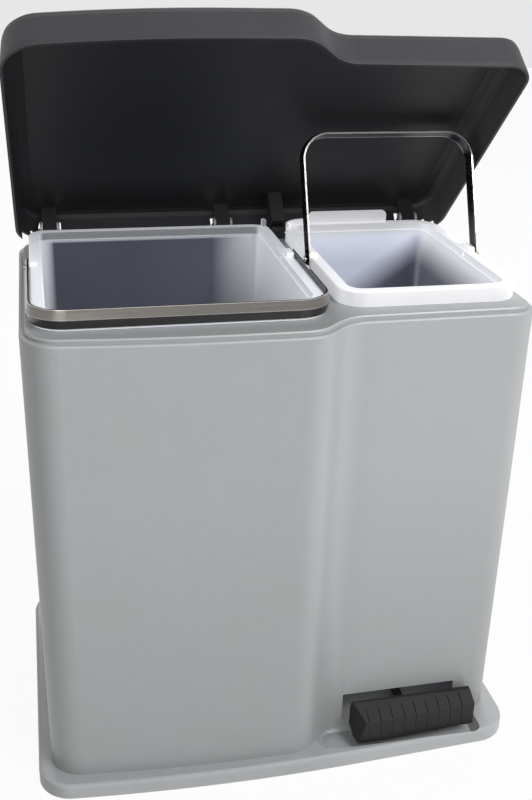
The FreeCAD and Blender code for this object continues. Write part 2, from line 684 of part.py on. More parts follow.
x0, x1 = front_arm_x - front_arm_thick / 2, front_arm_x + front_arm_thick / 2
pad_y = tread_rear - tread_pad_depth
arm_end_top = front_arm_end_z + front_arm_end_height
knee_y = tread_rear + bracket_rise
front_arm = plate_along_x(x0, x1, [
    (pedal_shaft_y, pedal_shaft_z - front_arm_root), (pedal_shaft_y, pedal_shaft_z + front_arm_root),
    (knee_y, arm_end_top), (pad_y, arm_end_top), (pad_y, front_arm_end_z), (knee_y, front_arm_end_z)])
front_arm = front_arm.fuse(rod_along_x(hub_radius, x0, x1, pedal_shaft_y, pedal_shaft_z))
front_arm = front_arm.fuse(box(front_arm_x - tread_pad_half, front_arm_x + tread_pad_half, pad_y, tread_rear,
                               front_arm_end_z, front_arm_end_z + tread_pad_thick))
front_arm = front_arm.cut(rod_along_x(shaft_radius, 0, beyond, pedal_shaft_y, pedal_shaft_z))
tread_screw_at = [(front_arm_x - tread_screw_half, tread_rear - tread_pad_depth / 2),
                  (front_arm_x + tread_screw_half, tread_rear - tread_pad_depth / 2)]
for x, y in tread_screw_at:
    front_arm = front_arm.cut(post(screw_radius, x, y, 0, beyond))
save("front_arm", front_arm)

# tread: sloping top, a plan that narrows to the right, a slanted left end
front_y = tread_rear - tread_depth_left
back_y = tread_rear + tread_depth_left
tread = plate_along_x(tread_x0, tread_x1, [
    (back_y, tread_rear_bottom), (tread_rear, tread_rear_bottom), (front_y, tread_bottom),
    (front_y - tread_nose, tread_ridge_z), (tread_rear - tread_rear_bevel, tread_rear_z), (back_y, tread_rear_z)])
boss_half = tread_pad_half + tread_boss_wall
tread = tread.fuse(box(front_arm_x - boss_half, front_arm_x + boss_half, pad_y - tread_boss_wall, tread_rear,
                       tread_bottom, tread_ridge_z))
front_turn = (tread_right_shift + tread_depth_left - tread_depth_right) / (tread_x1 - tread_x0)
front_cut = box(-beyond, beyond, -beyond, 0, -beyond, beyond)
front_cut.rotate(V(0, 0, 0), V(0, 0, 1), math.degrees(math.atan(front_turn)))
front_cut.translate(V(tread_x0, front_y - tread_nose, 0))
rear_cut = box(-beyond, beyond, 0, beyond, -beyond, beyond)
rear_cut.rotate(V(0, 0, 0), V(0, 0, 1), math.degrees(math.atan(tread_right_shift / (tread_x1 - tread_x0))))
rear_cut.translate(V(tread_x0, tread_rear, 0))
end_cut = box(-beyond, 0, -beyond, beyond, -beyond, beyond)
end_cut.rotate(V(0, 0, 0), V(0, 1, 0), tread_end_lean)
end_cut.rotate(V(0, 0, 0), V(0, 0, 1), tread_end_turn)
end_cut.translate(V(tread_x0 + tread_nose, tread_rear, tread_rear_z))
tread = tread.cut(front_cut).cut(rear_cut).cut(end_cut)
top_slope = math.atan2(tread_rear_z - tread_ridge_z, tread_rear - tread_rear_bevel - front_y + tread_nose)
for i in range(tread_grooves):
    from_left = tread_groove_start + i * tread_groove_pitch
    ridge_y = front_y - tread_nose + from_left * front_turn
    ridge_z = tread_ridge_z + from_left * front_turn * math.tan(top_slope)
    groove = box(0, tread_groove_width, -tread_groove_run, tread_groove_run, -tread_groove_depth, beyond)
    groove.rotate(V(0, 0, 0), V(1, 0, 0), math.degrees(top_slope))
    groove.translate(V(tread_x0 + from_left, ridge_y, ridge_z))
    tread = tread.cut(groove)
    flute = box(0, tread_groove_width, -beyond, tread_groove_depth / 2, 0, tread_ridge_z + tread_nose)
    flute.translate(V(tread_x0 + from_left, ridge_y, 0))
    tread = tread.cut(flute)
tread = tread.cut(box(front_arm_x - tread_pad_half - fit_gap, front_arm_x + tread_pad_half + fit_gap,
                      pad_y - fit_gap, beyond, 0, front_arm_end_z + tread_pad_thick))
tread = tread.cut(box(x0 - fit_gap, x1 + fit_gap, pad_y - fit_gap, beyond, 0, arm_end_top + fit_gap))
for x, y in tread_screw_at:
    tread = tread.cut(post(screw_radius, x, y, 0, front_arm_end_z + screw_length))
save("pedal_tread", tread)
save("tread_screws", *[screw(x, y, front_arm_end_z, screw_length, -1) for x, y in tread_screw_at])
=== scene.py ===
import math

import bmesh
import bpy
from mathutils import Matrix, Vector

bl_info = {
    "name": "Double pedal bin",
    "version": (1, 0, 0),
    "blender": (4, 5, 0),
    "location": "3D View > Sidebar > Pedal bin",
    "description": "Finishes and stage of a pedal bin with two buckets",
    "category": "Object",
}

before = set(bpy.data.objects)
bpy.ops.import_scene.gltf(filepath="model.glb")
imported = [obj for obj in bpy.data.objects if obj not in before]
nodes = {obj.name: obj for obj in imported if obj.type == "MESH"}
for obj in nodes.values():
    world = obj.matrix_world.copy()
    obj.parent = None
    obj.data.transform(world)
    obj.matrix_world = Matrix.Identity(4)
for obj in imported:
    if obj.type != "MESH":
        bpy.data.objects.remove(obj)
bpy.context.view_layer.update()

PIN_NODES = ("large_bail_rivets", "small_bail_rivets", "hinge_pins")
ZINC_NODES = ("base_screws", "bracket_screws", "tread_screws",
              "shaft_brackets", "shaft_clips", "pedal_shaft")
BLACK_STEEL_NODES = ("rear_arm", "front_arm")
BLACK_PLASTIC_NODES = ("pedal_tread", "push_rod", "rod_guide")

NOISE_SPAN = (0.3, 0.7)             # nearly all of a noise's values lie here
SQUARE_ON = (0.4, 0.9)              # facing from half turned to square on
REAR_WALLS_Y = (0.08, 0.1)          # the rear walls of both buckets are beyond this
LID_RIGHT_WALL_X = (0.21, 0.23)     # the lid's right wall is beyond this
UNDER_OPEN_LID = (0.0, -0.6997, -0.7145)    # the way the open lid's ceiling faces
STRAP_UP_LYING = (0.0, 0.0, 1.0)            # from a strap's lower edge to its upper edge
STRAP_UP_RAISED = (0.0, 0.9205, -0.3907)
LEFTWARD, RIGHTWARD, FORWARD = (-1.0, 0.0, 0.0), (1.0, 0.0, 0.0), (0.0, -1.0, 0.0)
NO_LIGHT = (0.0, 0.0, 0.0)


# ---------------------------------------------------------------- settings
class BinFinish(bpy.types.PropertyGroup):
    silver: bpy.props.FloatVectorProperty(
        name="Silver", description="Colour of the housing, deck and plinth",
        subtype="COLOR", size=3, default=(0.385, 0.395, 0.40), min=0, max=1)
    charcoal: bpy.props.FloatVectorProperty(
        name="Charcoal", description="Colour of the lid",
        subtype="COLOR", size=3, default=(0.028, 0.0268, 0.031), min=0, max=1)
    frosted: bpy.props.FloatVectorProperty(
        name="Frosted", description="Colour of the large bucket",
        subtype="COLOR", size=3, default=(0.86, 0.88, 0.91), min=0, max=1)
    white: bpy.props.FloatVectorProperty(
        name="White", description="Colour of the small bucket",
        subtype="COLOR", size=3, default=(0.93, 0.93, 0.95), min=0, max=1)
    steel: bpy.props.FloatVectorProperty(
        name="Steel", description="Colour of the handle straps",
        subtype="COLOR", size=3, default=(0.55, 0.54, 0.53), min=0, max=1)
    black: bpy.props.FloatVectorProperty(
        name="Black", description="Colour of the pedal and push rod",
        subtype="COLOR", size=3, default=(0.008, 0.008, 0.0081), min=0, max=1)
    grain_size: bpy.props.FloatProperty(
        name="Grain size", description="Size of one fleck of the pearly grain on the housing",
        default=0.0014, min=0.0002, max=0.01, unit="LENGTH")


class BinStage(bpy.types.PropertyGroup):
    camera_place: bpy.props.FloatVectorProperty(
        name="Camera place", description="Where the camera stands",
        subtype="TRANSLATION", size=3, default=(-0.2214, -1.0276, 0.8121), unit="LENGTH")
    camera_turn: bpy.props.FloatProperty(
        name="Camera turn", description="How far the camera looks to the right of straight ahead",
        subtype="ANGLE", default=math.radians(12.5))
    camera_dip: bpy.props.FloatProperty(
        name="Camera dip", description="How far the camera looks down",
        subtype="ANGLE", default=math.radians(23.59))
    camera_roll: bpy.props.FloatProperty(
        name="Camera roll", description="How far the camera leans",
        subtype="ANGLE", default=math.radians(1.5))
    camera_lens: bpy.props.FloatProperty(
        name="Camera lens", description="Focal length in millimetres", default=47.907, min=10, max=200)
    floor_radius: bpy.props.FloatProperty(
        name="Floor radius", description="Half the width of the pale floor",
        default=7.0, min=1, max=50, unit="LENGTH")
    light_level: bpy.props.FloatProperty(
        name="Light level", description="Strength of all the lamps", default=1.0, min=0, max=10)


# ---------------------------------------------------------------- shader helpers
def join(tree, source, target):
    tree.links.new(source, target)


def math_node(tree, operation, a, b, clamp=False):
    node = tree.nodes.new("ShaderNodeMath")
    node.operation = operation
    node.use_clamp = clamp
    for socket, value in zip(node.inputs, (a, b)):
        if isinstance(value, (int, float)):
            socket.default_value = value
        else:
            join(tree, value, socket)
    return node.outputs[0]


def mix_colours(tree, factor, a, b):
    """Colour a where the factor is 0 and b where it is 1. Each colour is a tuple or an output."""
    node = tree.nodes.new("ShaderNodeMix")
    node.data_type = "RGBA"
    sockets = {socket.identifier: socket for socket in node.inputs}
    join(tree, factor, sockets["Factor_Float"])
    for socket, colour in ((sockets["A_Color"], a), (sockets["B_Color"], b)):
        if isinstance(colour, tuple):
            socket.default_value = (*colour, 1.0)
        else:
            join(tree, colour, socket)
    return next(s for s in node.outputs if s.identifier == "Result_Color")


def spread(tree, value, low, high, to_low=0.0, to_high=1.0):
    """The span from low to high laid out from to_low to to_high, and held at its ends."""
    node = tree.nodes.new("ShaderNodeMapRange")
    join(tree, value, node.inputs["Value"])
    node.inputs["From Min"].default_value = low
    node.inputs["From Max"].default_value = high
    node.inputs["To Min"].default_value = to_low
    node.inputs["To Max"].default_value = to_high
    return node.outputs["Result"]


def stretch(tree, noise, to_low=0.0, to_high=1.0):
    """A noise laid out over the whole way from to_low to to_high."""
    return spread(tree, noise, *NOISE_SPAN, to_low, to_high)


def tone(colour, factor):
    return tuple(min(1.0, c * factor) for c in colour)


def times(tree, *values):
    product = values[0]
    for value in values[1:]:
        product = math_node(tree, "MULTIPLY", product, value)
    return product


def most(tree, *values):
    highest = values[0]
    for value in values[1:]:
        highest = math_node(tree, "MAXIMUM", highest, value)
    return highest


def new_group(name, inputs, outputs):
    group = bpy.data.node_groups.new(name, "ShaderNodeTree")
    for title, default in inputs:
        socket = group.interface.new_socket(title, in_out="INPUT", socket_type="NodeSocketFloat")
        socket.default_value = default
    for title in outputs:
        group.interface.new_socket(title, in_out="OUTPUT", socket_type="NodeSocketFloat")
    start = group.nodes.new("NodeGroupInput")
    end = group.nodes.new("NodeGroupOutput")
    return group, start, end


def moulded_grain_group():
    """Fine flecks and wide soft clouds, as moulded plastic shows them."""
    group, start, end = new_group(
        "Moulded grain", (("Fleck size", 0.0014), ("Cloud size", 0.06)), ("Flecks", "Clouds"))
    place = group.nodes.new("ShaderNodeTexCoord")
    for size, detail, out in (("Fleck size", 3.0, "Flecks"), ("Cloud size", 4.0, "Clouds")):
        noise = group.nodes.new("ShaderNodeTexNoise")
        noise.inputs["Detail"].default_value = detail
        noise.inputs["Roughness"].default_value = 0.6
        join(group, place.outputs["Object"], noise.inputs["Vector"])
        join(group, math_node(group, "DIVIDE", 1.0, start.outputs[size]), noise.inputs["Scale"])
        join(group, noise.outputs["Fac"], end.inputs[out])
    return group


def drawn_lines_group():
    """Long level lines and wider bands, as rolled or drawn metal shows them. They are narrow along Z."""
    group, start, end = new_group(
        "Drawn lines", (("Line size", 0.0006), ("Run", 0.08)), ("Lines", "Bands"))
    place = group.nodes.new("ShaderNodeTexCoord")
    along = math_node(group, "DIVIDE", 1.0, start.outputs["Run"])
    for size, out in ((1.0, "Lines"), (5.0, "Bands")):
        scale = group.nodes.new("ShaderNodeCombineXYZ")
        across = math_node(group, "DIVIDE", 1.0 / size, start.outputs["Line size"])
        join(group, along, scale.inputs["X"])
        join(group, along, scale.inputs["Y"])
        join(group, across, scale.inputs["Z"])
        product = group.nodes.new("ShaderNodeVectorMath")
        product.operation = "MULTIPLY"
        join(group, place.outputs["Object"], product.inputs[0])
        join(group, scale.outputs["Vector"], product.inputs[1])
        noise = group.nodes.new("ShaderNodeTexNoise")
        noise.inputs["Scale"].default_value = 1.0
        noise.inputs["Detail"].default_value = 2.0
        join(group, product.outputs["Vector"], noise.inputs["Vector"])
        join(group, noise.outputs["Fac"], end.inputs[out])
    return group


def facing_group():
    """How far a face looks along a direction of its own piece, from -1 to 1."""
    group, start, end = new_group("Facing", (("X", 0.0), ("Y", 0.0), ("Z", 1.0)), ("Facing",))
    surface = group.nodes.new("ShaderNodeTexCoord")
    way = group.nodes.new("ShaderNodeCombineXYZ")
    for axis in "XYZ":
        join(group, start.outputs[axis], way.inputs[axis])
    dot = group.nodes.new("ShaderNodeVectorMath")
    dot.operation = "DOT_PRODUCT"
    join(group, surface.outputs["Normal"], dot.inputs[0])
    join(group, way.outputs["Vector"], dot.inputs[1])
    join(group, dot.outputs["Value"], end.inputs["Facing"])
    return group


def place_on_piece_group():
    """Where a point lies on its own piece, in metres."""
    group, start, end = new_group("Place on piece", (), ("X", "Y", "Z"))
    place = group.nodes.new("ShaderNodeTexCoord")
    parts = group.nodes.new("ShaderNodeSeparateXYZ")
    join(group, place.outputs["Object"], parts.inputs["Vector"])
    for axis in "XYZ":
        join(group, parts.outputs[axis], end.inputs[axis])
    return group


def painted_edge_highlight_group():
    """A mask of the outer edges, where moulded and painted parts get a painted highlight."""
    group, start, end = new_group("Painted edge highlight", (("Radius", 0.002), ("Gain", 6.0)), ("Edge",))
    round_off = group.nodes.new("ShaderNodeBevel")
    round_off.samples = 6
    join(group, start.outputs["Radius"], round_off.inputs["Radius"])
    surface = group.nodes.new("ShaderNodeNewGeometry")
    dot = group.nodes.new("ShaderNodeVectorMath")
    dot.operation = "DOT_PRODUCT"
    join(group, round_off.outputs["Normal"], dot.inputs[0])
    join(group, surface.outputs["Normal"], dot.inputs[1])
    away = math_node(group, "SUBTRACT", 1.0, dot.outputs["Value"])
    join(group, math_node(group, "MULTIPLY", away, start.outputs["Gain"], clamp=True), end.inputs["Edge"])
    return group


def shared(name):
    makers = {"Moulded grain": moulded_grain_group, "Drawn lines": drawn_lines_group,
              "Painted edge highlight": painted_edge_highlight_group, "Facing": facing_group, "Place on piece": place_on_piece_group}
    return bpy.data.node_groups.get(name) or makers[name]()


def place_group(tree, name, **values):
    node = tree.nodes.new("ShaderNodeGroup")
    node.node_tree = shared(name)
    for title, value in values.items():
        node.inputs[title.replace("_", " ")].default_value = value
    return node


def new_material(name, **constants):
    """A material with one Principled shader. Constants go on its own sockets."""
    material = bpy.data.materials.new(name)
    material.use_nodes = True
    tree = material.node_tree
    tree.nodes.clear()
    output = tree.nodes.new("ShaderNodeOutputMaterial")
    shader = tree.nodes.new("ShaderNodeBsdfPrincipled")
    join(tree, shader.outputs["BSDF"], output.inputs["Surface"])
    for title, value in constants.items():
        shader.inputs[title.replace("_", " ")].default_value = value
    return material, tree, shader


def facing(tree, way):
    return place_group(tree, "Facing", X=way[0], Y=way[1], Z=way[2]).outputs["Facing"]


def bump(tree, shader, height, distance):
    node = tree.nodes.new("ShaderNodeBump")
    node.inputs["Distance"].default_value = distance
    node.inputs["Strength"].default_value = 1.0
    join(tree, height, node.inputs["Height"])
    join(tree, node.outputs["Normal"], shader.inputs["Normal"])


def painted_glow(tree, shader, amount, dim, colour):
    """A painted glow, standing in for light scattered through the plastic, left out where dim is 1."""
    glow = times(tree, math_node(tree, "SUBTRACT", 1.0, dim), amount)
    join(tree, mix_colours(tree, glow, NO_LIGHT, colour), shader.inputs["Emission Color"])
    shader.inputs["Emission Strength"].default_value = 1.0


# ---------------------------------------------------------------- finishes
def satin_silver(finish, name, foot_shade):
    """Silver moulded plastic with a fine pearly fleck, painted light and shade by side and height, and
    painted highlights on its edges.
    """
    material, tree, shader = new_material(name, Metallic=0.25, Specular_IOR_Level=0.4)
    grain = place_group(tree, "Moulded grain", Fleck_size=finish.grain_size, Cloud_size=0.09)
    fine = place_group(tree, "Moulded grain", Fleck_size=finish.grain_size * 0.35, Cloud_size=0.012)
    edge = place_group(tree, "Painted edge highlight", Radius=0.0016, Gain=5.0)
    flecks = stretch(tree, grain.outputs["Flecks"])
    colour = mix_colours(tree, flecks, tone(finish.silver, 0.94), tone(finish.silver, 1.06))
    clouds = stretch(tree, grain.outputs["Clouds"], 0.0, 0.5)
    colour = mix_colours(tree, clouds, colour, (0.40, 0.415, 0.43))
    patches = spread(tree, fine.outputs["Clouds"], 0.35, 0.65, 0.0, 0.35)
    colour = mix_colours(tree, patches, colour, tone(finish.silver, 0.93))
    # painted shade towards the left end and the foot, painted light on faces that look right and towards the
    # right end, and painted highlights on the edges
    place = place_group(tree, "Place on piece")
    left_end_painted_shade = spread(tree, facing(tree, LEFTWARD), 0.15, 0.7, 0.0, 0.8)
    right_end_painted_light = spread(tree, facing(tree, RIGHTWARD), 0.1, 0.6, 0.0, 0.7)
    right_part_painted_light = spread(tree, place.outputs["X"], 0.03, 0.09, 0.0, 0.5)
    foot_painted_shade = spread(tree, place.outputs["Z"], 0.34, 0.03, 0.0, foot_shade)
    for mask, factor in ((left_end_painted_shade, 0.6), (right_end_painted_light, 1.3), (right_part_painted_light, 1.22), (foot_painted_shade, 0.7),
                         (edge.outputs["Edge"], 1.45)):
        colour = mix_colours(tree, mask, colour, tone(finish.silver, factor))
    join(tree, colour, shader.inputs["Base Color"])
    join(tree, stretch(tree, fine.outputs["Flecks"], 0.36, 0.5), shader.inputs["Roughness"])
    bump(tree, shader, fine.outputs["Flecks"], 0.00006)
    return material


def satin_charcoal(finish):
    """Charcoal moulded plastic, softly eggshell, with painted highlights on its edges."""
    material, tree, shader = new_material("Satin charcoal plastic", Specular_IOR_Level=0.45)
    grain = place_group(tree, "Moulded grain", Fleck_size=0.0008, Cloud_size=0.11)
    edge = place_group(tree, "Painted edge highlight", Radius=0.0014, Gain=4.0)
    clouds = stretch(tree, grain.outputs["Clouds"])
    colour = mix_colours(tree, clouds, tone(finish.charcoal, 0.85), tone(finish.charcoal, 1.15))
    flecks = spread(tree, grain.outputs["Flecks"], 0.35, 0.75, 0.0, 0.4)
    colour = mix_colours(tree, flecks, colour, tone(finish.charcoal, 1.3))
    # painted shade makes the hollow darker than the outside, apart from the right wall, where painted light
    # stands for the daylight it catches
    place = place_group(tree, "Place on piece")
    hollow_painted_shade = spread(tree, facing(tree, UNDER_OPEN_LID), 0.2, 0.75, 0.0, 0.85)
    colour = mix_colours(tree, hollow_painted_shade, colour, (0.007, 0.0078, 0.008))
    right_wall_painted_light = times(tree, spread(tree, facing(tree, LEFTWARD), 0.3, 0.8),
                       spread(tree, place.outputs["X"], *LID_RIGHT_WALL_X))
    colour = mix_colours(tree, right_wall_painted_light, colour, (0.06, 0.062, 0.055))
    # painted highlight on the edges
    colour = mix_colours(tree, edge.outputs["Edge"], colour, tone(finish.charcoal, 2.2))
    join(tree, colour, shader.inputs["Base Color"])
    join(tree, stretch(tree, grain.outputs["Flecks"], 0.42, 0.56), shader.inputs["Roughness"])
    bump(tree, shader, grain.outputs["Flecks"], 0.00005)
    return material


def frosted_plastic(finish):
    """Milky plastic: white with a painted glow higher up, and painted shade on its rear collar band and
    where the dark housing shows through its rear wall.
    """
    material, tree, shader = new_material(
        "Frosted plastic", Transmission_Weight=0.1, IOR=1.35, Specular_IOR_Level=0.5)
    grain = place_group(tree, "Moulded grain", Fleck_size=0.0011, Cloud_size=0.05)
    fine = place_group(tree, "Moulded grain", Fleck_size=0.0006, Cloud_size=0.006)
    edge = place_group(tree, "Painted edge highlight", Radius=0.0012, Gain=4.0)
    place = place_group(tree, "Place on piece")
    x, y, z = (place.outputs[axis] for axis in "XYZ")
    clouds = stretch(tree, grain.outputs["Clouds"])
    colour = mix_colours(tree, clouds, tone(finish.frosted, 0.95), tone(finish.frosted, 1.04))
    # painted shade: a darker band on the rear collar, and a dark bluish grey for the housing seen through
    # the rear wall, lighter towards its right end
    rear = times(tree, spread(tree, facing(tree, FORWARD), *SQUARE_ON), spread(tree, y, *REAR_WALLS_Y))
    band = times(tree, rear, spread(tree, z, 0.497, 0.4985))
    colour = mix_colours(tree, band, colour, tone(finish.frosted, 0.42))
    across = times(tree, spread(tree, x, -0.217, -0.207), spread(tree, x, 0.032, -0.03))
    rear_wall_painted_shade = times(tree, rear, spread(tree, z, 0.499, 0.495), across)
    housing_seen_painted_shade = mix_colours(tree, stretch(tree, fine.outputs["Flecks"]),
                       (0.046, 0.049, 0.085), (0.075, 0.079, 0.12))
    housing_seen_painted_shade = mix_colours(tree, spread(tree, x, -0.12, -0.03), housing_seen_painted_shade, (0.095, 0.10, 0.145))
    colour = mix_colours(tree, times(tree, rear_wall_painted_shade, 0.93), colour, housing_seen_painted_shade)
    # painted highlight on the edges
    colour = mix_colours(tree, edge.outputs["Edge"], colour, (0.92, 0.93, 0.95))
    join(tree, colour, shader.inputs["Base Color"])
    # painted glow on the upper walls, left out where the painted shade lies
    dim = most(tree, rear_wall_painted_shade, band, times(tree, rear, 0.6))
    painted_glow(tree, shader, spread(tree, z, 0.40, 0.49), dim, (0.22, 0.225, 0.24))
    join(tree, stretch(tree, grain.outputs["Flecks"], 0.3, 0.42), shader.inputs["Roughness"])
    bump(tree, shader, grain.outputs["Flecks"], 0.00004)
    return material


def white_plastic(finish):
    """White moulded plastic with a soft gloss and the shade of the open lid in its rear right corner."""
    material, tree, shader = new_material("White plastic", Specular_IOR_Level=0.5)
    grain = place_group(tree, "Moulded grain", Fleck_size=0.0009, Cloud_size=0.07)
    place = place_group(tree, "Place on piece")
    x, y, z = (place.outputs[axis] for axis in "XYZ")
    forward = facing(tree, FORWARD)
    clouds = stretch(tree, grain.outputs["Clouds"])
    colour = mix_colours(tree, clouds, tone(finish.white, 0.97), tone(finish.white, 1.02))
    below_rim = spread(tree, z, 0.5, 0.49)
    behind = spread(tree, y, *REAR_WALLS_Y)
    rear = times(tree, spread(tree, forward, *SQUARE_ON), behind, below_rim)
    at_right = spread(tree, x, 0.2, 0.21)
    right = times(tree, spread(tree, facing(tree, LEFTWARD), *SQUARE_ON), at_right, below_rim)
    # painted shade: the rear wall below the rim is a bluish grey
    colour = mix_colours(tree, rear, colour, (0.60, 0.65, 0.80))
    # the shade's upper edge sinks to the left along the rear wall and is level on the right wall
    corner_x, corner_z, sink = 0.222, 0.494, 0.69
    sunk = times(tree, math_node(tree, "SUBTRACT", corner_x, x), sink)
    edge_z = math_node(tree, "SUBTRACT", corner_z, sunk)
    rear_shade = times(tree, spread(tree, math_node(tree, "SUBTRACT", edge_z, z), -0.01, 0.03), rear)
    right_shade = times(tree, spread(tree, z, 0.492, 0.455), right)
    colour = mix_colours(tree, times(tree, rear_shade, 0.88), colour, (0.06, 0.062, 0.09))
    colour = mix_colours(tree, times(tree, right_shade, 0.85), colour, (0.16, 0.165, 0.21))
    join(tree, colour, shader.inputs["Base Color"])
    # a painted glow, strongest at the rim, left out in the painted shade, on the faces that look forward and
    # on the rear band
    square_on = spread(tree, forward, 0.5, 0.95)
    front = times(tree, square_on, spread(tree, y, 0.0, -0.05))
    band = times(tree, square_on, behind, spread(tree, z, 0.49, 0.5), 0.92)
    dim = most(tree, rear_shade, right_shade, front, band)
    painted_glow(tree, shader, spread(tree, z, 0.46, 0.5, 0.3, 1.0), dim, (0.34, 0.345, 0.36))
    join(tree, stretch(tree, grain.outputs["Flecks"], 0.26, 0.38), shader.inputs["Roughness"])
    bump(tree, shader, grain.outputs["Clouds"], 0.0002)
    return material


def rolled_steel(finish, name, line_size, strap_up=None):
    """Bright rolled strip with lengthwise lines and dull patches.

    A folded strap gets painted reflections, a dull one on the facet above its ridge and a dark one below it,
    and painted highlights on its edges. strap_up points from its lower edge to its upper one.
    """
    material, tree, shader = new_material(name, Metallic=1.0)
    lines = place_group(tree, "Drawn lines", Line_size=line_size, Run=0.09)
    grain = place_group(tree, "Moulded grain", Fleck_size=0.002, Cloud_size=0.03)
    streaks = spread(tree, lines.outputs["Lines"], 0.35, 0.65)
    colour = mix_colours(tree, streaks, tone(finish.steel, 0.85), tone(finish.steel, 1.12))
    dull = spread(tree, grain.outputs["Clouds"], 0.4, 0.75, 0.0, 0.4)
    colour = mix_colours(tree, dull, colour, (0.42, 0.40, 0.38))
    if strap_up:
        edge = place_group(tree, "Painted edge highlight", Radius=0.0014, Gain=13.0)
        facet = facing(tree, strap_up)
        # painted reflections on the two facets, then a painted highlight on the edges
        for side, share, shown in ((1.0, 0.8, (0.15, 0.135, 0.12)), (-1.0, 0.88, (0.02, 0.0195, 0.02))):
            turned = times(tree, spread(tree, facet, side * 0.05, side * 0.2),
                           spread(tree, facet, side * 0.8, side * 0.6), share)
            colour = mix_colours(tree, turned, colour, shown)
        colour = mix_colours(tree, edge.outputs["Edge"], colour, (0.85, 0.83, 0.80))
    join(tree, colour, shader.inputs["Base Color"])
    join(tree, stretch(tree, lines.outputs["Bands"], 0.16, 0.32), shader.inputs["Roughness"])
    bump(tree, shader, lines.outputs["Lines"], 0.00002)
    return material


def zinc_plate():
    """Dull zinc plating with a crystal mottle."""
    material, tree, shader = new_material("Zinc plate", Metallic=1.0)
    cells = tree.nodes.new("ShaderNodeTexVoronoi")
    cells.inputs["Scale"].default_value = 700.0
    place = tree.nodes.new("ShaderNodeTexCoord")
    join(tree, place.outputs["Object"], cells.inputs["Vector"])
    grain = place_group(tree, "Moulded grain", Fleck_size=0.001, Cloud_size=0.01)
    colour = mix_colours(tree, spread(tree, cells.outputs["Distance"], 0.0, 0.8),
                         (0.50, 0.51, 0.53), (0.62, 0.63, 0.64))
    colour = mix_colours(tree, spread(tree, grain.outputs["Clouds"], 0.4, 0.8, 0.0, 0.5),
                         colour, (0.45, 0.44, 0.40))
    join(tree, colour, shader.inputs["Base Color"])
    join(tree, stretch(tree, grain.outputs["Flecks"], 0.32, 0.5), shader.inputs["Roughness"])
    bump(tree, shader, cells.outputs["Distance"], 0.00003)
    return material


def matt_black(finish, name, edge_gain, rough_low, rough_high):
    """Black plastic or paint with a fine texture and painted highlights on its edges."""
    material, tree, shader = new_material(name, Specular_IOR_Level=0.4)
    grain = place_group(tree, "Moulded grain", Fleck_size=0.0007, Cloud_size=0.03)
    edge = place_group(tree, "Painted edge highlight", Radius=0.0012, Gain=edge_gain)
    clouds = stretch(tree, grain.outputs["Clouds"])
    colour = mix_colours(tree, clouds, tone(finish.black, 0.8), tone(finish.black, 1.3))
    colour = mix_colours(tree, edge.outputs["Edge"], colour, tone(finish.black, 3.2))
    join(tree, colour, shader.inputs["Base Color"])
    join(tree, stretch(tree, grain.outputs["Flecks"], rough_low, rough_high), shader.inputs["Roughness"])
    bump(tree, shader, grain.outputs["Flecks"], 0.00012)
    return material


def foot_rubber():
    """Black rubber with a dusty bloom."""
    material, tree, shader = new_material("Foot rubber", Specular_IOR_Level=0.3)
    grain = place_group(tree, "Moulded grain", Fleck_size=0.0006, Cloud_size=0.008)
    colour = mix_colours(tree, spread(tree, grain.outputs["Clouds"], 0.35, 0.7), (0.02, 0.02, 0.02),
                         (0.05, 0.048, 0.045))
    join(tree, colour, shader.inputs["Base Color"])
    join(tree, stretch(tree, grain.outputs["Flecks"], 0.7, 0.9), shader.inputs["Roughness"])
    bump(tree, shader, grain.outputs["Flecks"], 0.0001)
    return material


def dress(names, material):
    for name in names:
        node = nodes[name]
        node.data.materials.clear()
        node.data.materials.append(material)


# ---------------------------------------------------------------- operators
class BIN_OT_housing(bpy.types.Operator):
    """Finish the housing, deck and plinth in satin silver"""
    bl_idname = "bin.housing"
    bl_label = "Housing finish"

    def execute(self, context):
        finish = context.scene.bin_finish
        dress(("body_shell", "top_frame"), satin_silver(finish, "Satin silver plastic", 0.5))
        dress(("base_plinth",), satin_silver(finish, "Satin silver plinth", 0.0))
        dress(("rubber_feet",), foot_rubber())
        return {"FINISHED"}


class BIN_OT_lid(bpy.types.Operator):
    """Finish the lid in satin charcoal"""
    bl_idname = "bin.lid"
    bl_label = "Lid finish"

    def execute(self, context):
        dress(("lid",), satin_charcoal(context.scene.bin_finish))
        return {"FINISHED"}


class BIN_OT_buckets(bpy.types.Operator):
    """Finish the frosted and the white bucket"""
    bl_idname = "bin.buckets"
    bl_label = "Bucket finishes"

    def execute(self, context):
        finish = context.scene.bin_finish
        dress(("large_bucket",), frosted_plastic(finish))
        dress(("small_bucket",), white_plastic(finish))
        return {"FINISHED"}


class BIN_OT_handles(bpy.types.Operator):
    """Finish the handle straps and all rivets and pins in bright steel"""
    bl_idname = "bin.handles"
    bl_label = "Handle finish"

    def execute(self, context):
        finish = context.scene.bin_finish
        dress(("large_bail",), rolled_steel(finish, "Rolled steel strap, lying", 0.0007, STRAP_UP_LYING))
        dress(("small_bail",), rolled_steel(finish, "Rolled steel strap, raised", 0.0007, STRAP_UP_RAISED))
        dress(PIN_NODES, rolled_steel(finish, "Turned steel", 0.0004))
        return {"FINISHED"}


class BIN_OT_pedal(bpy.types.Operator):
    """Finish the pedal, its arms and shaft, and the push rod with its guide"""
    bl_idname = "bin.pedal"
    bl_label = "Pedal and linkage finish"

    def execute(self, context):
        finish = context.scene.bin_finish
        dress(BLACK_PLASTIC_NODES, matt_black(finish, "Textured black plastic", 3.0, 0.5, 0.66))
        dress(BLACK_STEEL_NODES, matt_black(finish, "Black painted steel", 5.0, 0.3, 0.45))
        dress(ZINC_NODES, zinc_plate())
        return {"FINISHED"}


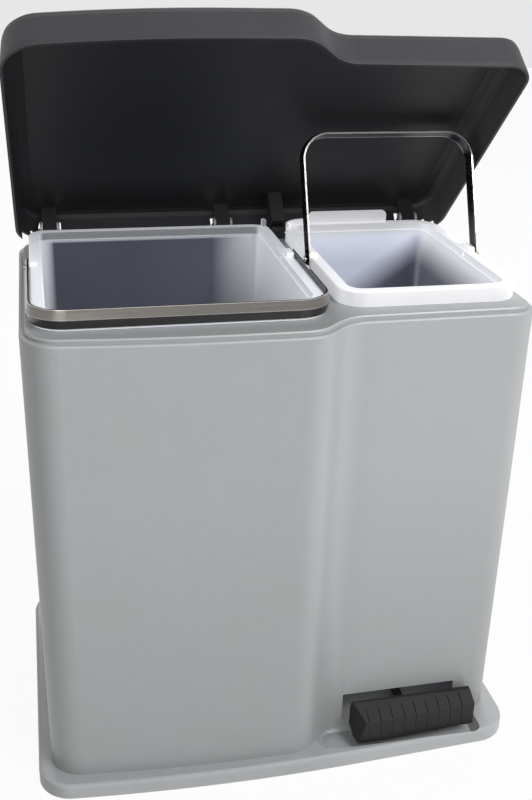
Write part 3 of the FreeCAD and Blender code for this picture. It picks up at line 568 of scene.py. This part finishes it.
def area_lamp(name, place, target, size, power):
    lamp = bpy.data.lights.new(name, "AREA")
    lamp.shape = "DISK"
    lamp.size = size
    lamp.energy = power
    item = bpy.data.objects.new(name, lamp)
    item.location = place
    item.rotation_euler = (Vector(target) - Vector(place)).to_track_quat("-Z", "Y").to_euler()
    bpy.context.scene.collection.objects.link(item)


def seen_directly(tree):
    """1 for rays that look straight at the background, by eye, in metal or through glass."""
    path = tree.nodes.new("ShaderNodeLightPath")
    rays = ("Is Camera Ray", "Is Glossy Ray", "Is Transmission Ray")
    return most(tree, *(path.outputs[ray] for ray in rays))


class BIN_OT_stage(bpy.types.Operator):
    """Set the pale floor, the soft lamps and the camera"""
    bl_idname = "bin.stage"
    bl_label = "Stage"

    def execute(self, context):
        scene = context.scene
        stage = scene.bin_stage
        scene.view_settings.view_transform = "Standard"
        self.camera(scene, stage)
        self.floor(scene, stage)
        self.sky(scene)
        level = stage.light_level
        area_lamp("Key lamp", (1.5, -1.9, 3.0), (0, 0, 0.35), 1.8, 74 * level)
        area_lamp("Fill lamp", (-1.0, -2.6, 1.7), (0, 0, 0.3), 2.0, 14 * level)
        area_lamp("Rear lamp", (0.4, 2.4, 2.2), (0, 0, 0.4), 2.0, 22 * level)
        return {"FINISHED"}

    def camera(self, scene, stage):
        turn, dip, roll = stage.camera_turn, stage.camera_dip, stage.camera_roll
        ahead = Vector((math.sin(turn) * math.cos(dip), math.cos(turn) * math.cos(dip), -math.sin(dip)))
        side = Vector((math.cos(turn), -math.sin(turn), 0))
        above = side.cross(ahead)
        right = side * math.cos(roll) + above * math.sin(roll)
        up = above * math.cos(roll) - side * math.sin(roll)
        data = bpy.data.cameras.new("Camera")
        data.lens = stage.camera_lens
        camera = bpy.data.objects.new("Camera", data)
        turned = Matrix((right, up, -ahead)).transposed().to_4x4()
        camera.matrix_world = Matrix.Translation(Vector(stage.camera_place)) @ turned
        scene.collection.objects.link(camera)
        scene.camera = camera

    def floor(self, scene, stage):
        mesh = bpy.data.meshes.new("Floor")
        bm = bmesh.new()
        bmesh.ops.create_circle(bm, cap_ends=True, radius=stage.floor_radius, segments=64)
        bm.to_mesh(mesh)
        bm.free()
        floor = bpy.data.objects.new("Floor", mesh)
        scene.collection.objects.link(floor)
        material, tree, shader = new_material("Pale floor", Roughness=0.9, Specular_IOR_Level=0.1)
        shader.inputs["Base Color"].default_value = (0.85, 0.85, 0.85, 1)
        glow = tree.nodes.new("ShaderNodeEmission")
        glow.inputs["Strength"].default_value = 1.0
        plain_white = 0.92              # the rest keeps the bin's shadow
        share = math_node(tree, "MULTIPLY", seen_directly(tree), plain_white)
        blend = tree.nodes.new("ShaderNodeMixShader")
        join(tree, share, blend.inputs["Fac"])
        join(tree, shader.outputs["BSDF"], blend.inputs[1])
        join(tree, glow.outputs["Emission"], blend.inputs[2])
        output = next(n for n in tree.nodes if n.type == "OUTPUT_MATERIAL")
        join(tree, blend.outputs["Shader"], output.inputs["Surface"])
        mesh.materials.append(material)

    def sky(self, scene):
        world = bpy.data.worlds.new("Soft sky")
        scene.world = world
        world.use_nodes = True
        tree = world.node_tree
        tree.nodes.clear()
        output = tree.nodes.new("ShaderNodeOutputWorld")
        back = tree.nodes.new("ShaderNodeBackground")
        join(tree, back.outputs["Background"], output.inputs["Surface"])
        lights_by, shown_extra = 0.55, 0.45
        extra = math_node(tree, "MULTIPLY", seen_directly(tree), shown_extra)
        join(tree, math_node(tree, "ADD", extra, lights_by), back.inputs["Strength"])


class BIN_PT_panel(bpy.types.Panel):
    """Finishes and stage of the pedal bin"""
    bl_idname = "BIN_PT_panel"
    bl_label = "Pedal bin"
    bl_space_type = "VIEW_3D"
    bl_region_type = "UI"
    bl_category = "Pedal bin"

    def draw(self, context):
        layout = self.layout
        for group in (context.scene.bin_finish, context.scene.bin_stage):
            for title in group.bl_rna.properties.keys():
                if title not in ("rna_type", "name"):
                    layout.prop(group, title)
        for operator in OPERATORS:
            layout.operator(operator.bl_idname)


OPERATORS = (BIN_OT_housing, BIN_OT_lid, BIN_OT_buckets, BIN_OT_handles, BIN_OT_pedal, BIN_OT_stage)
CLASSES = (BinFinish, BinStage, *OPERATORS, BIN_PT_panel)


def register():
    for each in CLASSES:
        bpy.utils.register_class(each)
    bpy.types.Scene.bin_finish = bpy.props.PointerProperty(type=BinFinish)
    bpy.types.Scene.bin_stage = bpy.props.PointerProperty(type=BinStage)


def unregister():
    del bpy.types.Scene.bin_stage
    del bpy.types.Scene.bin_finish
    for each in reversed(CLASSES):
        bpy.utils.unregister_class(each)


def main():
    register()
    bpy.ops.bin.housing()
    bpy.ops.bin.lid()
    bpy.ops.bin.buckets()
    bpy.ops.bin.handles()
    bpy.ops.bin.pedal()
    bpy.ops.bin.stage()


if __name__ == "__main__":
    main()
